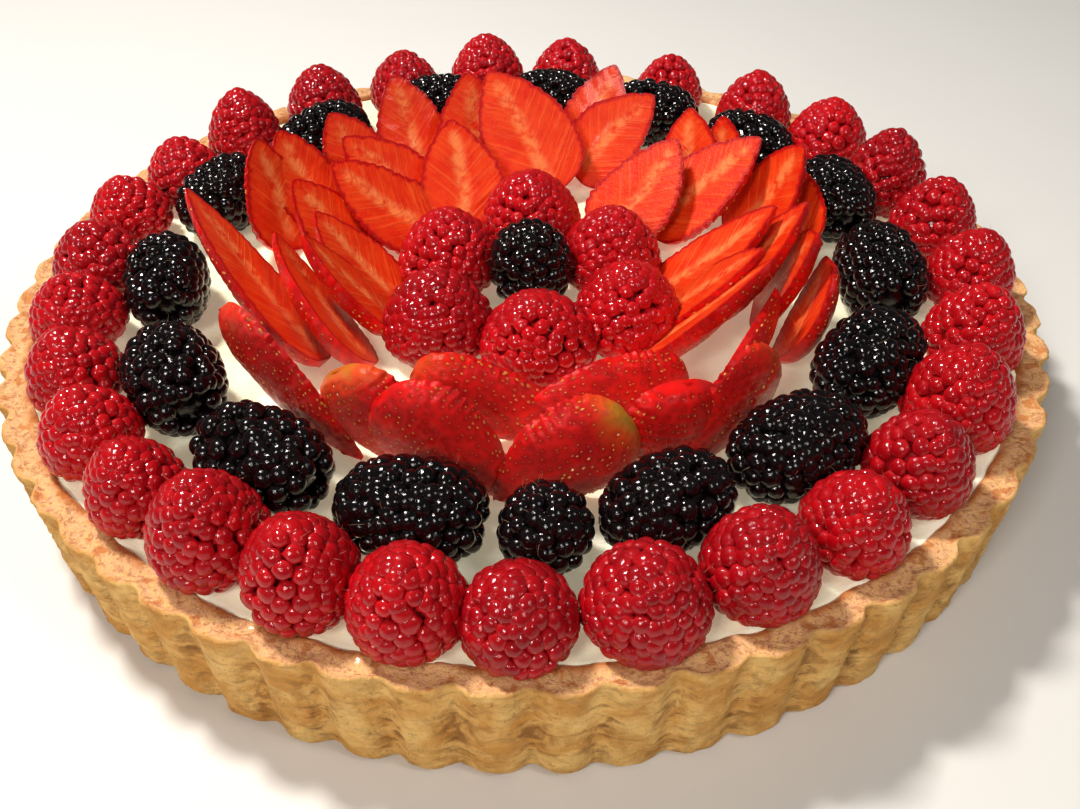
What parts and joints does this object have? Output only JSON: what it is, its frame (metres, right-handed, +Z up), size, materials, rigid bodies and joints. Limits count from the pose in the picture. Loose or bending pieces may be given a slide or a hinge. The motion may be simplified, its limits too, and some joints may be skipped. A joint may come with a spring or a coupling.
{
  "type": "strawberry and berry tart",
  "caption": "Round fluted shortcrust tart filled with cream, topped with fans of strawberry slices like a flower, dark bramble berries and raspberries round the rim.",
  "frame": {"origin": "centre of the flat underside of the crust, on the table", "axes": "+Z up, -Y towards the front of the tart as pictured, +X to its right"},
  "size_m": [0.2796, 0.2796, 0.0658],
  "materials": {
    "shortcrust": "baked, sandy, golden tan",
    "cream": "smooth, moist, ivory",
    "raspberry": "glazed, crimson, velvety",
    "dark_berry": "glossy, near black",
    "strawberry": "glazed, bright red skin, orange-red cut face"
  },
  "bodies": {
    "root": {"cream": "cream", "crust": "shortcrust", "dark_berry_middle": "dark_berry", "dark_berry_ring_01": "dark_berry", "dark_berry_ring_02": "dark_berry", "dark_berry_ring_03": "dark_berry", "dark_berry_ring_04": "dark_berry", "dark_berry_ring_05": "dark_berry", "dark_berry_ring_06": "dark_berry", "dark_berry_ring_07": "dark_berry", "dark_berry_ring_08": "dark_berry", "dark_berry_ring_09": "dark_berry", "dark_berry_ring_10": "dark_berry", "dark_berry_ring_11": "dark_berry", "dark_berry_ring_12": "dark_berry", "dark_berry_ring_13": "dark_berry", "dark_berry_ring_14": "dark_berry", "dark_berry_ring_15": "dark_berry", "dark_berry_ring_16": "dark_berry", "raspberry_middle_1": "raspberry", "raspberry_middle_2": "raspberry", "raspberry_middle_3": "raspberry", "raspberry_middle_4": "raspberry", "raspberry_middle_5": "raspberry", "raspberry_middle_6": "raspberry", "raspberry_rim_01": "raspberry", "raspberry_rim_02": "raspberry", "raspberry_rim_03": "raspberry", "raspberry_rim_04": "raspberry", "raspberry_rim_05": "raspberry", "raspberry_rim_06": "raspberry", "raspberry_rim_07": "raspberry", "raspberry_rim_08": "raspberry", "raspberry_rim_09": "raspberry", "raspberry_rim_10": "raspberry", "raspberry_rim_11": "raspberry", "raspberry_rim_12": "raspberry", "raspberry_rim_13": "raspberry", "raspberry_rim_14": "raspberry", "raspberry_rim_15": "raspberry", "raspberry_rim_16": "raspberry", "raspberry_rim_17": "raspberry", "raspberry_rim_18": "raspberry", "raspberry_rim_19": "raspberry", "raspberry_rim_20": "raspberry", "raspberry_rim_21": "raspberry", "raspberry_rim_22": "raspberry", "raspberry_rim_23": "raspberry", "raspberry_rim_24": "raspberry", "raspberry_rim_25": "raspberry", "raspberry_rim_26": "raspberry", "raspberry_rim_27": "raspberry", "raspberry_rim_28": "raspberry", "strawberry_fan_back_left": "strawberry", "strawberry_fan_back_right": "strawberry", "strawberry_fan_front": "strawberry", "strawberry_fan_front_inner": "strawberry", "strawberry_fan_left": "strawberry", "strawberry_fan_left_inner": "strawberry", "strawberry_fan_right": "strawberry"}
  },
  "joints": []
}
